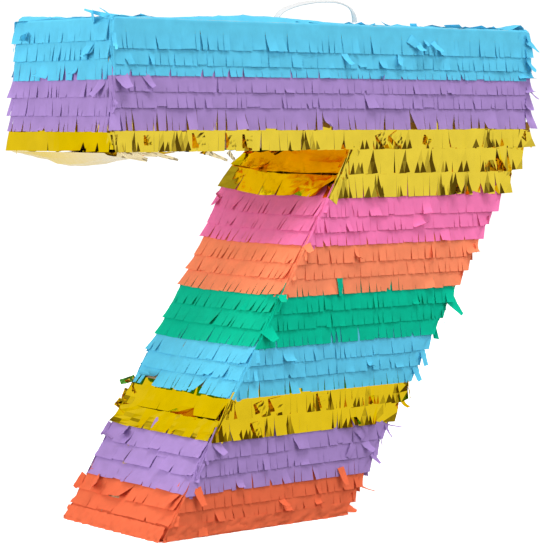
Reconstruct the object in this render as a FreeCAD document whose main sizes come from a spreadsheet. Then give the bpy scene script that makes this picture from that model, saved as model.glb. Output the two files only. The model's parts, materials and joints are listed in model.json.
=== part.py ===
"""A free-standing number seven pinata: a hollow cardboard box body with a fill flap behind,
taped along its edges and covered in rows of fringed tissue paper and foil, with a hanging loop.

The front faces -Y, +X is to its right and +Z is up. The origin is at the middle of the base.
"""

import FreeCAD, Part
import math
import os

import Sketcher

os.makedirs("parts", exist_ok=True)
doc = FreeCAD.newDocument("pinata")

# Driving sizes in millimetres. X places are measured from the middle of the bar.
SIZES = {
    "overall_width": 434.0,
    "overall_height": 400.0,
    "overall_depth": 138.0,
    "bar_bottom": 296.0,
    "notch_x": 14.0,
    "bend_height": 302.0,
    "foot_left": 174.0,
    "foot_right": 9.0,
    "board": 3.0,
    "skin": 3.3,
    "foot_skin": 1.1,
    "foot_paper": 0.8,
    "skin_gap": 0.3,
    "strip_thickness": 0.7,
    "strip_tuck": 4.0,
    "strip_end_gap": 0.3,
    "lowest_edge": 0.6,
    "right_lowest_edge": 2.6,
    "notch_clear": 290.0,
    "bend_clear": 301.5,
    "underside_clear": 10.0,
    "tape_thickness": 0.2,
    "tape_width": 10.0,
    "tape_trim": 20.0,
    "flap_left": -105.0,
    "flap_right": -15.0,
    "flap_bottom": 318.5,
    "flap_hinge": 371.0,
    "flap_kerf": 0.6,
    "flap_corner": 8.0,
    "flap_strip_inset": 0.5,
    "flap_strip_gap": 1.5,
    "flap_strip_top": 370.0,
    "hinge_tape_height": 12.0,
    "plate_length": 134.0,
    "plate_width": 60.0,
    "plate_middle_x": 34.75,
    "loop_left_x": -8.0,
    "loop_right_x": 77.5,
    "cord_hole_radius": 3.5,
    "cord_radius": 2.5,
    "cord_pivot": 402.8,
    "tail_radius": 2.2,
    "tail_top": 399.4,
    "knot_radius": 6.0,
}

# Colour bands from the top down, each with the heights that its rows of fringe show.
BANDS = {
    "upper_blue": (26, 12, 8),
    "upper_purple": (12, 12, 17),
    "upper_gold": (16, 20, 19),
    "pink": (15, 12, 11),
    "orange": (14, 12, 13),
    "green": (13, 13, 13),
    "lower_blue": (13, 12, 13),
    "lower_gold": (16, 16),
    "lower_purple": (13, 13, 13),
    "coral": (12, 11, 10),
}
# The same on the bar's two ends, and on the leg's right side just below the bend.
END_BANDS = {
    "upper_blue": (20, 14, 15),
    "upper_purple": (13, 14, 12),
}
LEFT_GOLD_EDGES = (297.0, 277.0, 258.0)
RIGHT_GOLD_EDGES = (303.4, 289.0, 277.0, 258.0)
TOP_ROWS = 32
UNDERSIDE_ROWS = 16

# The hanging loop's way over the top between its two feet: x, y, z of each bend.
LOOP_BENDS = (
    (-5.0, 0.3, 408.0),
    (6.0, 0.8, 413.5),
    (28.0, 0.6, 418.6),
    (54.0, -0.4, 420.3),
    (70.0, -0.8, 416.5),
    (77.0, -0.4, 409.0),
)
BEND_SHARE = 0.45

# Expressions that the pieces share.
HALF_WIDTH = "(Sizes.overall_width / 2)"
HALF_DEPTH = "(Sizes.overall_depth / 2)"
BOARD_SIDE = "(Sizes.overall_width / 2 - Sizes.skin)"
BOARD_TOP = "(Sizes.overall_height - Sizes.skin)"
BOARD_FACE = "(Sizes.overall_depth / 2 - Sizes.skin)"
WALL_HALF = "(Sizes.overall_depth / 2 - Sizes.skin - Sizes.board)"
BAR_FLOOR = "(Sizes.bar_bottom + Sizes.skin)"
LEFT_LEAN = "((Sizes.notch_x + Sizes.foot_left) / Sizes.bar_bottom)"
RIGHT_LEAN = "((Sizes.overall_width / 2 - Sizes.foot_right) / Sizes.bend_height)"
BOARD_BEND = (
    f"((Sizes.overall_width / 2 - Sizes.skin - Sizes.foot_right"
    f" + Sizes.skin / cos(atan({RIGHT_LEAN}))) / {RIGHT_LEAN})"
)


def left_line(height, inset="0"):
    """Expression for x on the leg's left side at a height, so far inside its outer face."""
    return f"(-Sizes.foot_left + {LEFT_LEAN} * {height} + {inset} / cos(atan({LEFT_LEAN})))"


def right_line(height, inset="0"):
    """Expression for x on the leg's right side at a height, so far inside its outer face."""
    return f"(Sizes.foot_right + {RIGHT_LEAN} * {height} - {inset} / cos(atan({RIGHT_LEAN})))"


# The same places as numbers, for placements and first sketch positions.
half_width = SIZES["overall_width"] / 2
board_side = half_width - SIZES["skin"]
board_top = SIZES["overall_height"] - SIZES["skin"]
board_face = SIZES["overall_depth"] / 2 - SIZES["skin"]
bar_floor = SIZES["bar_bottom"] + SIZES["skin"]
left_lean = (SIZES["notch_x"] + SIZES["foot_left"]) / SIZES["bar_bottom"]
right_lean = (half_width - SIZES["foot_right"]) / SIZES["bend_height"]
left_angle = math.atan(left_lean)
right_angle = math.atan(right_lean)


def board_left(height):
    """x of the cardboard's left side on the leg."""
    return -SIZES["foot_left"] + left_lean * height + SIZES["skin"] / math.cos(left_angle)


def board_right(height):
    """x of the cardboard's right side on the leg."""
    return SIZES["foot_right"] + right_lean * height - SIZES["skin"] / math.cos(right_angle)


board_bend = (board_side - board_right(0)) / right_lean

# Cardboard outline, anticlockwise seen from the front: numbers, then the same as expressions.
OUTLINE = (
    (board_side, board_top),
    (-board_side, board_top),
    (-board_side, bar_floor),
    (board_left(bar_floor), bar_floor),
    (board_left(SIZES["foot_skin"]), SIZES["foot_skin"]),
    (board_right(SIZES["foot_skin"]), SIZES["foot_skin"]),
    (board_side, board_bend),
)
OUTLINE_EXPRESSIONS = (
    (BOARD_SIDE, BOARD_TOP),
    (f"-{BOARD_SIDE}", BOARD_TOP),
    (f"-{BOARD_SIDE}", BAR_FLOOR),
    (left_line(BAR_FLOOR, "Sizes.skin"), BAR_FLOOR),
    (left_line("Sizes.foot_skin", "Sizes.skin"), "Sizes.foot_skin"),
    (right_line("Sizes.foot_skin", "Sizes.skin"), "Sizes.foot_skin"),
    (BOARD_SIDE, BOARD_BEND),
)


def make_sheet():
    """The spreadsheet that holds every driving size and every fringe row's lower edge."""
    sheet = doc.addObject("Spreadsheet::Sheet", "Sizes")
    values = dict(SIZES)
    values.update(row_edges())
    for row, (alias, value) in enumerate(values.items(), start=1):
        sheet.set(f"A{row}", alias)
        sheet.set(f"B{row}", f"{value:.3f}")
        sheet.setAlias(f"B{row}", alias)
    doc.recompute()
    return sheet


def row_edges():
    """Alias and height of each fringe row's lower edge, on the front and on the bar's ends."""
    edges = {}
    for prefix, bands in (("row", BANDS), ("end_row", END_BANDS)):
        height = SIZES["overall_height"]
        for band, rows in bands.items():
            for number, exposed in enumerate(rows, start=1):
                height -= exposed
                edges[f"{prefix}_{band}_{number}"] = max(height, SIZES["lowest_edge"])
    for number, height in enumerate(LEFT_GOLD_EDGES, start=1):
        edges[f"left_row_upper_gold_{number}"] = height
    for number, height in enumerate(RIGHT_GOLD_EDGES, start=1):
        edges[f"right_row_upper_gold_{number}"] = height
    return edges


def bind(item, expressions):
    """Ties properties of a document object to expressions on the sheet."""
    for name, expression in expressions.items():
        item.setExpression(name, expression)
    return item


def frame(origin, along, up, out):
    """Placement whose local X, Y and Z are the row directions along, up and out."""
    matrix = FreeCAD.Matrix(
        along[0], up[0], out[0], origin[0],
        along[1], up[1], out[1], origin[1],
        along[2], up[2], out[2], origin[2],
        0, 0, 0, 1,
    )
    return FreeCAD.Placement(matrix)


def face_frames():
    """A local frame on each covered face: X along a row of fringe, Y up the face, Z outwards."""
    left_up = (math.sin(left_angle), 0, math.cos(left_angle))
    left_out = (-math.cos(left_angle), 0, math.sin(left_angle))
    right_up = (math.sin(right_angle), 0, math.cos(right_angle))
    right_out = (math.cos(right_angle), 0, -math.sin(right_angle))
    return {
        "front": frame((0, -board_face, 0), (1, 0, 0), (0, 0, 1), (0, -1, 0)),
        "rear": frame((0, board_face, 0), (-1, 0, 0), (0, 0, 1), (0, 1, 0)),
        "left_end": frame((-board_side, 0, 0), (0, -1, 0), (0, 0, 1), (-1, 0, 0)),
        "right_end": frame((board_side, 0, 0), (0, 1, 0), (0, 0, 1), (1, 0, 0)),
        "left_leg": frame((board_left(0), 0, 0), (0, -1, 0), left_up, left_out),
        "right_leg": frame((board_right(0), 0, 0), (0, 1, 0), right_up, right_out),
        "top": frame((0, 0, board_top), (0, -1, 0), (1, 0, 0), (0, 0, 1)),
        "underside": frame((0, 0, bar_floor), (0, 1, 0), (1, 0, 0), (0, 0, -1)),
        "depth": frame((0, 0, 0), (1, 0, 0), (0, 0, 1), (0, -1, 0)),
    }


def wedge(name, placement, low, high, low_x, high_x, low_z, high_z):
    """A slab between two levels of its local Y, with its X and Z spans at each level."""
    solid = doc.addObject("Part::Wedge", name)
    bind(solid, {
        "Ymin": low, "Ymax": high,
        "Xmin": low_x[0], "Xmax": low_x[1], "X2min": high_x[0], "X2max": high_x[1],
        "Zmin": low_z[0], "Zmax": low_z[1], "Z2min": high_z[0], "Z2max": high_z[1],
    })
    solid.Placement = placement
    return solid


def box(name, spans):
    """A box bound to the expressions of its low and high corners in X, Y and Z."""
    solid = doc.addObject("Part::Box", name)
    for side, axis, (low, high) in zip(("Length", "Width", "Height"), "xyz", spans):
        bind(solid, {side: f"({high}) - ({low})", f"Placement.Base.{axis}": low})
    return solid


def upright_cylinder(name, radius, x, low, high):
    """A cylinder along Z, bound to its radius, its place along X and its two ends."""
    solid = doc.addObject("Part::Cylinder", name)
    return bind(solid, {
        "Radius": radius,
        "Height": f"({high}) - ({low})",
        "Placement.Base.x": x,
        "Placement.Base.z": low,
    })


def compound(name, solids):
    """One node that holds several separate solids of the same kind."""
    group = doc.addObject("Part::Compound", name)
    group.Links = solids
    return group


def cut(name, base, tool):
    """Base with tool taken away."""
    result = doc.addObject("Part::Cut", name)
    result.Base = base
    result.Tool = tool
    return result


def cord_holes(name, low, high):
    """Two clearance holes for the hanging cord, between two heights."""
    cutters = [
        upright_cylinder(f"{name}_{side}", "Sizes.cord_hole_radius", f"Sizes.loop_{side}_x", low, high)
        for side in ("left", "right")
    ]
    return compound(name, cutters)


def polygon_sketch(body, name, corners, expressions, offset):
    """A closed sketch on the body's XZ plane, moved by an offset towards -Y, fully bound."""
    sketch = body.newObject("Sketcher::SketchObject", name)
    plane = [f for f in body.Origin.OriginFeatures if f.Role == "XZ_Plane"][0]
    sketch.AttachmentSupport = [(plane, "")]
    sketch.MapMode = "FlatFace"
    sketch.setExpression("AttachmentOffset.Base.z", offset)
    count = len(corners)
    for index in range(count):
        start = FreeCAD.Vector(*corners[index], 0)
        end = FreeCAD.Vector(*corners[(index + 1) % count], 0)
        sketch.addGeometry(Part.LineSegment(start, end), False)
    for index in range(count):
        sketch.addConstraint(Sketcher.Constraint("Coincident", index, 2, (index + 1) % count, 1))
    for index in range(count):
        for kind, value, expression in zip(
            ("DistanceX", "DistanceY"), corners[index], expressions[index]
        ):
            number = sketch.addConstraint(Sketcher.Constraint(kind, -1, 1, index, 1, value))
            sketch.setExpression(f"Constraints[{number}]", expression)
    return sketch


def board_body(name, corners, expressions, inner_face, rear=False):
    """A board cut from sheet, its inner face on a plane, thickening away from the middle."""
    body = doc.addObject("PartDesign::Body", name)
    sketch = polygon_sketch(body, f"{name}_outline", corners, expressions, inner_face)
    pad = body.newObject("PartDesign::Pad", f"{name}_pad")
    pad.Profile = sketch
    pad.setExpression("Length", "Sizes.board")
    pad.Reversed = rear
    doc.recompute()
    return body


def flap_corners(kerf):
    """The fill flap's outline, or its opening's, anticlockwise from the lower left."""
    left = SIZES["flap_left"] - kerf
    right = SIZES["flap_right"] + kerf
    bottom = SIZES["flap_bottom"] - kerf
    top = SIZES["flap_hinge"] + kerf
    return ((left, bottom), (right, bottom), (right, top), (left, top))


def flap_expressions(kerf):
    """The same outline as expressions."""
    left = f"Sizes.flap_left - {kerf}"
    right = f"Sizes.flap_right + {kerf}"
    bottom = f"Sizes.flap_bottom - {kerf}"
    top = f"Sizes.flap_hinge + {kerf}"
    return ((left, bottom), (right, bottom), (right, top), (left, top))


def round_lower_corners(body, name, radius, middle_height):
    """Rounds the two edges that run through the board at the flap's lower corners."""
    feature = body.Tip
    names = []
    for number, edge in enumerate(feature.Shape.Edges, start=1):
        across = edge.BoundBox.YLength > SIZES["board"] / 2
        thin = edge.BoundBox.XLength + edge.BoundBox.ZLength < 1e-6
        middle = edge.BoundBox.Center
        near_flap = SIZES["flap_left"] - 2 < middle.x < SIZES["flap_right"] + 2
        if across and thin and near_flap and SIZES["flap_bottom"] - 2 < middle.z < middle_height:
            names.append(f"Edge{number}")
    fillet = body.newObject("PartDesign::Fillet", name)
    fillet.Base = (feature, names)
    fillet.setExpression("Radius", radius)
    doc.recompute()


def make_panels():
    """The front and rear number-seven panels. The rear one has the fill opening."""
    front = board_body("front_panel", OUTLINE, OUTLINE_EXPRESSIONS, WALL_HALF)
    rear = board_body("rear_panel", OUTLINE, OUTLINE_EXPRESSIONS, f"-{WALL_HALF}", rear=True)
    whole = rear.Shape.Volume
    sketch = polygon_sketch(
        rear, "fill_opening", flap_corners(SIZES["flap_kerf"]),
        flap_expressions("Sizes.flap_kerf"), f"-{WALL_HALF}",
    )
    pocket = rear.newObject("PartDesign::Pocket", "fill_opening_pocket")
    pocket.Profile = sketch
    pocket.setExpression("Length", "Sizes.board")
    pocket.Reversed = False
    doc.recompute()
    if rear.Shape.Volume > whole - 1:
        pocket.Reversed = True
        doc.recompute()
    round_lower_corners(
        rear, "fill_opening_corners", "Sizes.flap_corner + Sizes.flap_kerf", SIZES["flap_hinge"] - 5
    )
    if rear.Shape.Volume > whole - 1:
        raise RuntimeError("the fill opening cut nothing")
    return [front, rear]


def make_fill_flap():
    """The flap that closes the fill opening, hinged along its top edge."""
    body = board_body(
        "fill_flap", flap_corners(0), flap_expressions("0"), f"-{WALL_HALF}", rear=True
    )
    round_lower_corners(body, "fill_flap_corners", "Sizes.flap_corner", SIZES["flap_hinge"] - 5)
    return body


def make_walls(frames):
    """The side strips between the two panels, cut square or on the leg's slant."""
    depth = (f"-{WALL_HALF}", WALL_HALF)
    foot_top = "(Sizes.foot_skin + Sizes.board)"
    under_top = f"({BAR_FLOOR} + Sizes.board)"
    side_span = (f"{BOARD_SIDE} - Sizes.board", BOARD_SIDE)
    left_span = (f"-{BOARD_SIDE}", f"-{BOARD_SIDE} + Sizes.board")
    thick = "(Sizes.skin + Sizes.board)"

    top = box("top_sheet", ((f"-{BOARD_SIDE}", BOARD_SIDE), depth, (f"{BOARD_TOP} - Sizes.board", BOARD_TOP)))
    walls = [
        cut("top_wall", top, cord_holes("top_wall_holes", f"{BOARD_TOP} - 10", f"{BOARD_TOP} + 10")),
        box("bar_left_end_wall", (left_span, depth, (BAR_FLOOR, f"{BOARD_TOP} - Sizes.board"))),
        box("bar_right_end_wall", (side_span, depth, (BOARD_BEND, f"{BOARD_TOP} - Sizes.board"))),
    ]

    def slanted(name, low, high, low_x, high_x):
        return wedge(name, frames["depth"], low, high, low_x, high_x, depth, depth)

    walls.append(slanted(
        "bar_underside_wall", BAR_FLOOR, under_top,
        (left_span[1], left_line(BAR_FLOOR, "Sizes.skin")),
        (left_span[1], left_line(under_top, "Sizes.skin")),
    ))
    walls.append(slanted(
        "leg_left_wall", foot_top, under_top,
        (left_line(foot_top, "Sizes.skin"), left_line(foot_top, thick)),
        (left_line(under_top, "Sizes.skin"), left_line(under_top, thick)),
    ))
    walls.append(slanted(
        "leg_right_wall", foot_top, BOARD_BEND,
        (right_line(foot_top, thick), right_line(foot_top, "Sizes.skin")),
        (right_line(BOARD_BEND, thick), BOARD_SIDE),
    ))
    walls.append(slanted(
        "foot_wall", "Sizes.foot_skin", foot_top,
        (left_line("Sizes.foot_skin", "Sizes.skin"), right_line("Sizes.foot_skin", "Sizes.skin")),
        (left_line(foot_top, "Sizes.skin"), right_line(foot_top, "Sizes.skin")),
    ))
    return walls


def edge_tape(name, length, placement):
    """One strip of tape folded along an edge: X along the edge, Y and Z into its two faces."""
    outer = doc.addObject("Part::Box", f"{name}_outer")
    inner = doc.addObject("Part::Box", f"{name}_inner")
    outer.Length = length
    inner.Length = length
    for solid, width in ((outer, "Sizes.tape_width + Sizes.tape_thickness"), (inner, "Sizes.tape_width")):
        bind(solid, {"Width": width, "Height": width})
    bind(inner, {"Placement.Base.y": "Sizes.tape_thickness", "Placement.Base.z": "Sizes.tape_thickness"})
    strip = cut(name, outer, inner)
    strip.Placement = placement
    return strip


def make_edge_tapes():
    """Tape folded over every long edge where a panel meets a wall, short of the corners."""
    tapes = []
    trim = SIZES["tape_trim"]
    film = SIZES["tape_thickness"]
    for index, (start_x, start_z) in enumerate(OUTLINE):
        end_x, end_z = OUTLINE[(index + 1) % len(OUTLINE)]
        reach = math.hypot(end_x - start_x, end_z - start_z)
        along_x = (end_x - start_x) / reach
        along_z = (end_z - start_z) / reach
        inward = (-along_z, 0, along_x)
        for side in ("front", "rear"):
            sign = -1 if side == "front" else 1
            run = trim if side == "front" else reach - trim
            origin = (
                start_x + along_x * run - inward[0] * film,
                sign * (board_face + film),
                start_z + along_z * run - inward[2] * film,
            )
            along = (-sign * along_x, 0, -sign * along_z)
            placement = frame(origin, along, (0, -sign, 0), inward)
            tapes.append(edge_tape(f"tape_{side}_{index}", reach - 2 * trim, placement))
    return compound("edge_tapes", tapes)


def strip(name, placement, low, high, low_x, high_x):
    """One row of fringe: a slab that stands off at its free lower edge and lies flat at its top."""
    lift = "Sizes.skin"
    low_z = (f"{lift} - Sizes.strip_thickness", lift)
    high_z = ("Sizes.skin_gap", "Sizes.skin_gap + Sizes.strip_thickness")
    return wedge(name, placement, low, high, low_x, high_x, low_z, high_z)


def flap_sides(gap):
    """The fill flap's left and right sides as seen from behind, widened by a gap."""
    return f"(-Sizes.flap_right - {gap})", f"(-Sizes.flap_left + {gap})"


def panel_fringe(side, placement, edges):
    """The bands across the front or the rear panel, each a node of its own."""
    nodes = []
    above = None
    for band, rows in BANDS.items():
        strips = []
        for number in range(1, len(rows) + 1):
            low = f"Sizes.row_{band}_{number}"
            level = edges[f"row_{band}_{number}"]
            high = f"({above} + Sizes.strip_tuck)" if above else "Sizes.overall_height"
            upper = edges[above.split(".")[1]] + SIZES["strip_tuck"] if above else board_top
            low_left, high_left = f"-{HALF_WIDTH}", f"-{HALF_WIDTH}"
            low_right, high_right = HALF_WIDTH, HALF_WIDTH
            if level < SIZES["bar_bottom"]:
                low_left, high_left = left_line(low), left_line(high)
            if level < SIZES["bend_height"]:
                low_right = right_line(low)
            if upper < SIZES["bend_height"]:
                high_right = right_line(high)
            name = f"{side}_{band}_{number}"
            if side == "front":
                strips.append(strip(name, placement, low, high, (low_left, low_right), (high_left, high_right)))
            elif SIZES["bend_height"] < level < SIZES["flap_hinge"]:
                near, far = flap_sides("Sizes.flap_strip_gap")
                for part, span in (("near", (f"-{HALF_WIDTH}", near)), ("far", (far, HALF_WIDTH))):
                    strips.append(strip(f"{name}_{part}", placement, low, high, span, span))
            else:
                low_span = (f"-{low_right}", f"-{low_left}")
                high_span = (f"-{high_right}", f"-{high_left}")
                strips.append(strip(name, placement, low, high, low_span, high_span))
            above = low
        nodes.append(compound(f"{side}_fringe_{band}", strips))
    return nodes


def side_fringe(side, frames, edges):
    """The bands down one narrow side: the bar's end, then the leg's slanted side."""
    lean = LEFT_LEAN if side == "left" else RIGHT_LEAN
    clear = "Sizes.notch_clear" if side == "left" else "Sizes.bend_clear"
    span = (f"-{BOARD_FACE}", BOARD_FACE)
    nodes = []
    above = None
    for band, rows in BANDS.items():
        strips = []
        prefix = "row"
        count = len(rows)
        if band in END_BANDS:
            prefix = "end_row"
        if band == "upper_gold":
            prefix = f"{side}_row"
            count = sum(alias.startswith(f"{side}_row_upper_gold") for alias in edges)
        for number in range(1, count + 1):
            alias = f"{prefix}_{band}_{number}"
            level = edges[alias]
            low = f"Sizes.{alias}"
            high = f"({above} + Sizes.strip_tuck)" if above else "Sizes.overall_height"
            on_leg = band not in END_BANDS and not (band == "upper_gold" and number == 1)
            if on_leg and band == "upper_gold" and number == 2:
                high = clear
            if level <= SIZES["lowest_edge"] and side == "right":
                low = "Sizes.right_lowest_edge"
            above = low
            if on_leg:
                low, high = (f"({level_of}) / cos(atan({lean}))" for level_of in (low, high))
            placement = frames[f"{side}_leg" if on_leg else f"{side}_end"]
            strips.append(strip(f"{side}_{alias}_strip", placement, low, high, span, span))
        nodes.append(compound(f"{side}_fringe_{band}", strips))
    return nodes


def row_strips(name, placement, rows, start, end):
    """Rows of equal pitch along a flat face, from one expression to another."""
    pitch = f"(({end}) - ({start})) / {rows}"
    span = (f"-{BOARD_FACE} + Sizes.strip_end_gap", f"{BOARD_FACE} - Sizes.strip_end_gap")
    strips = []
    for number in range(rows):
        low = f"({start}) + {number} * {pitch}"
        high = f"({low}) + {pitch}" + (" + Sizes.strip_tuck" if number < rows - 1 else "")
        strips.append(strip(f"{name}_row_{number + 1}", placement, low, high, span, span))
    return compound(name, strips)


def make_flat_fringe(frames):
    """The rows over the top and under the bar, with free edges towards the left end."""
    side = f"{BOARD_SIDE} - Sizes.strip_end_gap"
    top = row_strips("top_rows", frames["top"], TOP_ROWS, f"-({side})", side)
    holes = cord_holes("top_fringe_holes", f"{BOARD_TOP} - 10", f"{BOARD_TOP} + 10")
    notch_end = f"{left_line(BAR_FLOOR, 'Sizes.skin')} - Sizes.underside_clear"
    under = row_strips("underside_fringe", frames["underside"], UNDERSIDE_ROWS, f"-({side})", notch_end)
    return [cut("top_fringe", top, holes), under]


def make_flap_fringe(placement):
    """The rows that cover the fill flap and line up with those beside it."""
    span = flap_sides("-Sizes.flap_strip_inset")
    nodes = []
    above = None
    for band, numbers in (("upper_blue", (2, 3)), ("upper_purple", (1, 2, 3))):
        strips = []
        for number in numbers:
            low = f"Sizes.row_{band}_{number}"
            high = f"({above} + Sizes.strip_tuck)" if above else "Sizes.flap_strip_top"
            strips.append(strip(f"flap_{band}_{number}", placement, low, high, span, span))
            above = low
        nodes.append(compound(f"flap_fringe_{band}", strips))
    return nodes


def make_foot_paper():
    """The flat paper under the foot, which the pinata stands on."""
    x_span = (f"{left_line('0')} + Sizes.strip_end_gap", f"{right_line('0')} - Sizes.strip_end_gap")
    return box("foot_base_paper", (x_span, (f"-{BOARD_FACE}", BOARD_FACE), ("0", "Sizes.foot_paper")))


def make_hinge_tape():
    """The paper hinge laid over the fill flap's top edge."""
    half = "Sizes.hinge_tape_height / 2"
    return box("hinge_tape", (
        ("Sizes.flap_left + Sizes.flap_corner", "Sizes.flap_right - Sizes.flap_corner"),
        (BOARD_FACE, f"{BOARD_FACE} + Sizes.tape_thickness"),
        (f"Sizes.flap_hinge - {half}", f"Sizes.flap_hinge + {half}"),
    ))


def make_hanger_plate():
    """The reinforcing board glued under the top, with the two cord holes through it."""
    low, high = f"{BOARD_TOP} - 2 * Sizes.board", f"{BOARD_TOP} - Sizes.board"
    sheet = box("hanger_sheet", (
        ("Sizes.plate_middle_x - Sizes.plate_length / 2", "Sizes.plate_middle_x + Sizes.plate_length / 2"),
        ("-Sizes.plate_width / 2", "Sizes.plate_width / 2"),
        (low, high),
    ))
    return cut("hanger_plate", sheet, cord_holes("hanger_holes", f"{low} - 1", f"{high} + 1"))


def make_cord_tails():
    """The cord's two ends below the top, each knotted under the hanger plate."""
    knot_height = f"({BOARD_TOP} - 2 * Sizes.board - Sizes.knot_radius)"
    tails = []
    for side in ("left", "right"):
        place = f"Sizes.loop_{side}_x"
        stem = upright_cylinder(f"{side}_stem", "Sizes.tail_radius", place, knot_height, "Sizes.tail_top")
        knot = doc.addObject("Part::Sphere", f"{side}_knot")
        bind(knot, {
            "Radius": "Sizes.knot_radius",
            "Placement.Base.x": place,
            "Placement.Base.z": knot_height,
        })
        tail = doc.addObject("Part::Fuse", f"{side}_tail")
        tail.Base = stem
        tail.Tool = knot
        tails.append(tail)
    return compound("cord_tails", tails)


def bend_arc(before, corner, after):
    """Start, middle and end of the largest tangent arc that the two runs at a corner allow."""
    arriving = (corner - before).normalize()
    leaving = (after - corner).normalize()
    turn = arriving.getAngle(leaving)
    setback = BEND_SHARE * min((corner - before).Length, (after - corner).Length)
    radius = setback / math.tan(turn / 2)
    inward = (leaving - arriving).normalize()
    middle = corner + inward * (radius / math.cos(turn / 2) - radius)
    print(f"loop bend: radius {radius:.1f} mm, turn {math.degrees(turn):.1f} degrees")
    return corner - arriving * setback, middle, corner + leaving * setback


def make_hang_loop():
    """The limp cord loop: a tube along straight runs and tangent arcs, with round feet."""
    pivot = SIZES["cord_pivot"]
    radius = SIZES["cord_radius"]
    points = [FreeCAD.Vector(SIZES["loop_left_x"], 0, pivot)]
    points += [FreeCAD.Vector(*bend) for bend in LOOP_BENDS]
    points.append(FreeCAD.Vector(SIZES["loop_right_x"], 0, pivot))
    edges = []
    cursor = points[0]
    for before, corner, after in zip(points, points[1:], points[2:]):
        start, middle, end = bend_arc(before, corner, after)
        edges.append(Part.LineSegment(cursor, start).toShape())
        edges.append(Part.Arc(start, middle, end).toShape())
        cursor = end
    edges.append(Part.LineSegment(cursor, points[-1]).toShape())
    path = Part.Wire(edges)
    section = Part.Wire([Part.makeCircle(radius, points[0], points[1] - points[0])])
    tube = path.makePipeShell([section], True, True)
    expected = math.pi * radius ** 2 * path.Length
    print(f"loop length {path.Length:.1f} mm, tube volume over expected {tube.Volume / expected:.4f}")
    feet = [Part.makeSphere(radius, points[index]) for index in (0, -1)]
    loop = doc.addObject("Part::Feature", "hang_loop")
    loop.Shape = tube.fuse(feet).removeSplitter()
    loop.Placement = FreeCAD.Placement()
    return loop


def make_parts():
    """Every sub-part, in the order that the pinata is put together."""
    frames = face_frames()
    edges = row_edges()
    nodes = make_panels()
    nodes += make_walls(frames)
    nodes += [make_fill_flap(), make_hinge_tape(), make_edge_tapes()]
    nodes += [make_hanger_plate(), make_cord_tails(), make_hang_loop()]
    nodes += panel_fringe("front", frames["front"], edges)
    nodes += panel_fringe("rear", frames["rear"], edges)
    nodes += side_fringe("left", frames, edges)
    nodes += side_fringe("right", frames, edges)
    nodes += make_flat_fringe(frames)
    nodes += make_flap_fringe(frames["rear"])
    nodes.append(make_foot_paper())
    return nodes


def export(nodes):
    """Checks every object, then writes each sub-part to its own file."""
    doc.recompute()
    failed = [item.Name for item in doc.Objects if {"Invalid", "Error"} & set(item.State)]
    if failed:
        raise RuntimeError(f"these objects did not recompute: {failed}")
    for node in nodes:
        node.Label = node.Name
        if node.Shape.isNull() or not node.Shape.isValid():
            raise RuntimeError(f"{node.Name} has no valid shape")
    for node in nodes:
        node.Shape.exportStep(f"parts/{node.Label}.step")
    print(f"{len(nodes)} sub-parts written")


make_sheet()
export(make_parts())
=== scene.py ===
import json
import math
import random

import bpy
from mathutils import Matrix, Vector, noise


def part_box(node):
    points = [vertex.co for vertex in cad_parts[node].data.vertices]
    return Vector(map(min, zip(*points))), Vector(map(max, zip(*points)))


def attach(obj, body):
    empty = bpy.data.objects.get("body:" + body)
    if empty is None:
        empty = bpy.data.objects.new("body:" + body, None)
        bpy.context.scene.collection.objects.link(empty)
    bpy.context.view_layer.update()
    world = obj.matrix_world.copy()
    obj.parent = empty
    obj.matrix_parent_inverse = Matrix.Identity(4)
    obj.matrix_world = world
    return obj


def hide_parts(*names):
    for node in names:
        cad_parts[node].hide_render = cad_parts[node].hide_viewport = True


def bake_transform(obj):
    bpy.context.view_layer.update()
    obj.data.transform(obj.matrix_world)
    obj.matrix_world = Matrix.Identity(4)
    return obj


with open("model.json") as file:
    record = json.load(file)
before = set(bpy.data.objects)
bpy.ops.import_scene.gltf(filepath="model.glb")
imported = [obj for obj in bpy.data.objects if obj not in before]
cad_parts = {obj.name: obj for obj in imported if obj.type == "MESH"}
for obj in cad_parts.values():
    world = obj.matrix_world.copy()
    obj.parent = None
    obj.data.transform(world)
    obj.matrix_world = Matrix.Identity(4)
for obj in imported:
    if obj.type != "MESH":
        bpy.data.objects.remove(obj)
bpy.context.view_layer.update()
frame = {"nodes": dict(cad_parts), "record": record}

# A number seven pinata. Its boards stay as CAD made them; every row of fringe is cut here from
# the slab that CAD gives it, and is built as paper or foil with slits, lifted flaps and curls.
MM = 0.001
X_AXIS = Vector((1, 0, 0))
Y_AXIS = Vector((0, 1, 0))
Z_AXIS = Vector((0, 0, 1))

# Camera
CAMERA_AZIMUTH = math.radians(-38.8)
CAMERA_ELEVATION = math.radians(4.13)
CAMERA_DISTANCE = 1.798
CAMERA_TARGET = Vector((-0.0086, 0.0, 0.1933))
LENS_MM = 142.6
SENSOR_MM = 36.0

# The hanging loop's way over the top, in millimetres
LOOP_POINTS = (
    (-8.0, 0.0, 402.8),
    (-5.0, 0.3, 408.0),
    (6.0, 0.8, 413.5),
    (28.0, 0.6, 418.6),
    (54.0, -0.4, 420.3),
    (70.0, -0.8, 416.5),
    (77.0, -0.4, 409.0),
    (77.5, 0.0, 402.8),
)
RIBBON_WIDTH = 5.0
RIBBON_THICKNESS = 1.1
RIBBON_SQUARENESS = 0.55
RIBBON_CORNERS = 12
RIBBON_TURN = 27.0
RIBBON_END_TURN = 80.0

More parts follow.
